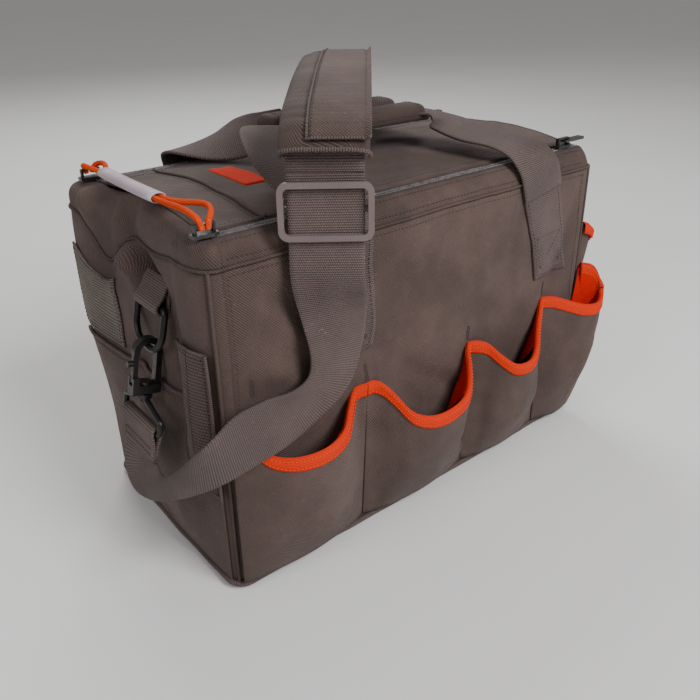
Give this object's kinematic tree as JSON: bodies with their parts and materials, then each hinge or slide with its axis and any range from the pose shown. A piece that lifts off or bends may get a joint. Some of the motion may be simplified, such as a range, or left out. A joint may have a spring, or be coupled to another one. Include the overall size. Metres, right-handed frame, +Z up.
{
  "type": "soft-sided kit bag with shoulder strap",
  "caption": "Black nylon kit bag with a zipped lid, open front pockets edged in orange, carry handles, and a padded shoulder strap clipped to end rings.",
  "frame": {"origin": "on the floor under the middle of the bag's box body", "axes": "+X along the bag's length, away from the end with the cord pull; the open front pockets face -Y; +Z up"},
  "size_m": [0.4954, 0.2968, 0.3709],
  "materials": {
    "pack_cloth": "woven nylon pack cloth, matt with a faint sheen",
    "webbing": "ribbed nylon webbing",
    "binding": "orange grosgrain tape",
    "zip_nylon": "nylon coil zip",
    "black_metal": "black coated, lightly worn",
    "puller_plastic": "soft moulded puller",
    "pull_cord": "orange braided cord",
    "grip_tube": "dark grey rubber tube",
    "board": "stiff plastic sheet",
    "hook_loop": "loop pile",
    "pad": "padded cloth",
    "slide_plastic": "worn moulded plastic"
  },
  "bodies": {
    "bag": {"base_panel": "pack_cloth", "front_panel": "pack_cloth", "back_panel": "pack_cloth", "left_end_panel": "pack_cloth", "right_end_panel": "pack_cloth", "front_top_strip": "pack_cloth", "back_top_strip": "pack_cloth", "left_top_strip": "pack_cloth", "right_top_strip": "pack_cloth", "main_lid": "pack_cloth", "pocket_1_front": "pack_cloth", "pocket_2_front": "pack_cloth", "pocket_3_front": "pack_cloth", "pocket_4_front": "pack_cloth", "pocket_pleats": "pack_cloth", "side_pocket_wall": "pack_cloth", "side_pocket_pleats": "pack_cloth", "left_slip_pocket": "pack_cloth", "tool_sheath": "pack_cloth", "pad_cover": "pack_cloth", "front_handle_patches": "webbing", "back_handle_patches": "webbing", "strap_front": "webbing", "strap_back": "webbing", "left_ring_tab": "webbing", "right_ring_tab": "webbing", "pocket_binding": "binding", "side_pocket_binding": "binding", "front_zip_tape": "zip_nylon", "back_zip_tape": "zip_nylon", "front_zip_coil": "zip_nylon", "back_zip_coil": "zip_nylon", "left_snap_hook": "black_metal", "right_snap_hook": "black_metal", "base_board": "board", "hook_loop_field": "hook_loop", "shoulder_pad": "pad"},
    "zip_pull": {"zip_slider_left_front": "black_metal", "zip_slider_left_back": "black_metal", "pull_cord_a": "pull_cord", "pull_cord_b": "pull_cord", "pull_grip_tube": "grip_tube"},
    "lid_end": {"lid_end_flap": "pack_cloth"},
    "front_handle": {"front_handle_web": "webbing", "front_grip": "pack_cloth"},
    "back_handle": {"back_handle_web": "webbing", "back_grip": "pack_cloth"},
    "front_slider": {"zip_slider_right_front": "black_metal"},
    "back_slider": {"zip_slider_right_back": "black_metal"},
    "front_puller": {"zip_puller_front": "puller_plastic"},
    "back_puller": {"zip_puller_back": "puller_plastic"},
    "strap_adjuster": {"strap_slide": "slide_plastic"},
    "left_ring": {"left_d_ring": "black_metal"},
    "right_ring": {"right_d_ring": "black_metal"},
    "left_eye": {"left_swivel_eye": "black_metal", "left_strap_end": "webbing"},
    "right_eye": {"right_swivel_eye": "black_metal", "right_strap_end": "webbing"},
    "left_gate": {"left_hook_gate": "black_metal"},
    "right_gate": {"right_hook_gate": "black_metal"}
  },
  "joints": [
    {"name": "zip_pull_slide", "type": "slide", "parent": "bag", "child": "zip_pull", "axis": [1, 0, 0], "range_m": [0, 0.2]},
    {"name": "lid_end_droop", "type": "hinge", "parent": "bag", "child": "lid_end", "pos_m": [-0.147, 0, 0.2804], "axis": [0, 1, 0], "range_deg": [-75, 0]},
    {"name": "front_handle_swing", "type": "hinge", "parent": "bag", "child": "front_handle", "pos_m": [0, -0.1075, 0.2625], "axis": [1, 0, 0], "range_deg": [-3, 9]},
    {"name": "back_handle_swing", "type": "hinge", "parent": "bag", "child": "back_handle", "pos_m": [0, 0.1075, 0.2625], "axis": [-1, 0, 0], "range_deg": [-3, 9]},
    {"name": "front_slider_travel", "type": "slide", "parent": "bag", "child": "front_slider", "axis": [1, 0, 0], "range_m": [-0.14, 0]},
    {"name": "back_slider_travel", "type": "slide", "parent": "bag", "child": "back_slider", "axis": [1, 0, 0], "range_m": [-0.14, 0]},
    {"name": "front_puller_tilt", "type": "hinge", "parent": "front_slider", "child": "front_puller", "pos_m": [0.1742, -0.0915, 0.291], "axis": [0, -1, 0], "range_deg": [0, 90]},
    {"name": "back_puller_tilt", "type": "hinge", "parent": "back_slider", "child": "back_puller", "pos_m": [0.1742, 0.0915, 0.291], "axis": [0, -1, 0], "range_deg": [0, 90]},
    {"name": "strap_adjuster_slide", "type": "slide", "parent": "bag", "child": "strap_adjuster", "axis": [0, 0, 1], "range_m": [-0.022, 0.0015]},
    {"name": "left_ring_swing", "type": "hinge", "parent": "bag", "child": "left_ring", "pos_m": [-0.212, -0.032, 0.224], "axis": [0, 1, 0], "range_deg": [-3, 1]},
    {"name": "right_ring_swing", "type": "hinge", "parent": "bag", "child": "right_ring", "pos_m": [0.212, 0.032, 0.224], "axis": [0, -1, 0], "range_deg": [-3, 1]},
    {"name": "left_eye_swivel", "type": "hinge", "parent": "bag", "child": "left_eye", "pos_m": [-0.22799, -0.032, 0.15319], "axis": [0.2079, 0, 0.9781], "range_deg": [-4, 4]},
    {"name": "right_eye_swivel", "type": "hinge", "parent": "bag", "child": "right_eye", "pos_m": [0.22799, 0.032, 0.15319], "axis": [-0.2079, 0, 0.9781], "range_deg": [-4, 4]},
    {"name": "left_gate_pivot", "type": "hinge", "parent": "bag", "child": "left_gate", "pos_m": [-0.23364, -0.032, 0.1687], "axis": [0, 1, 0], "range_deg": [0, 20], "stiffness_Nm_per_rad": 0.05},
    {"name": "right_gate_pivot", "type": "hinge", "parent": "bag", "child": "right_gate", "pos_m": [0.23364, 0.032, 0.1687], "axis": [0, -1, 0], "range_deg": [0, 20], "stiffness_Nm_per_rad": 0.05}
  ],
  "couplings": [
    {"joint": "lid_end_droop", "follows": "zip_pull_slide", "rad_per_m": -6.54}
  ]
}
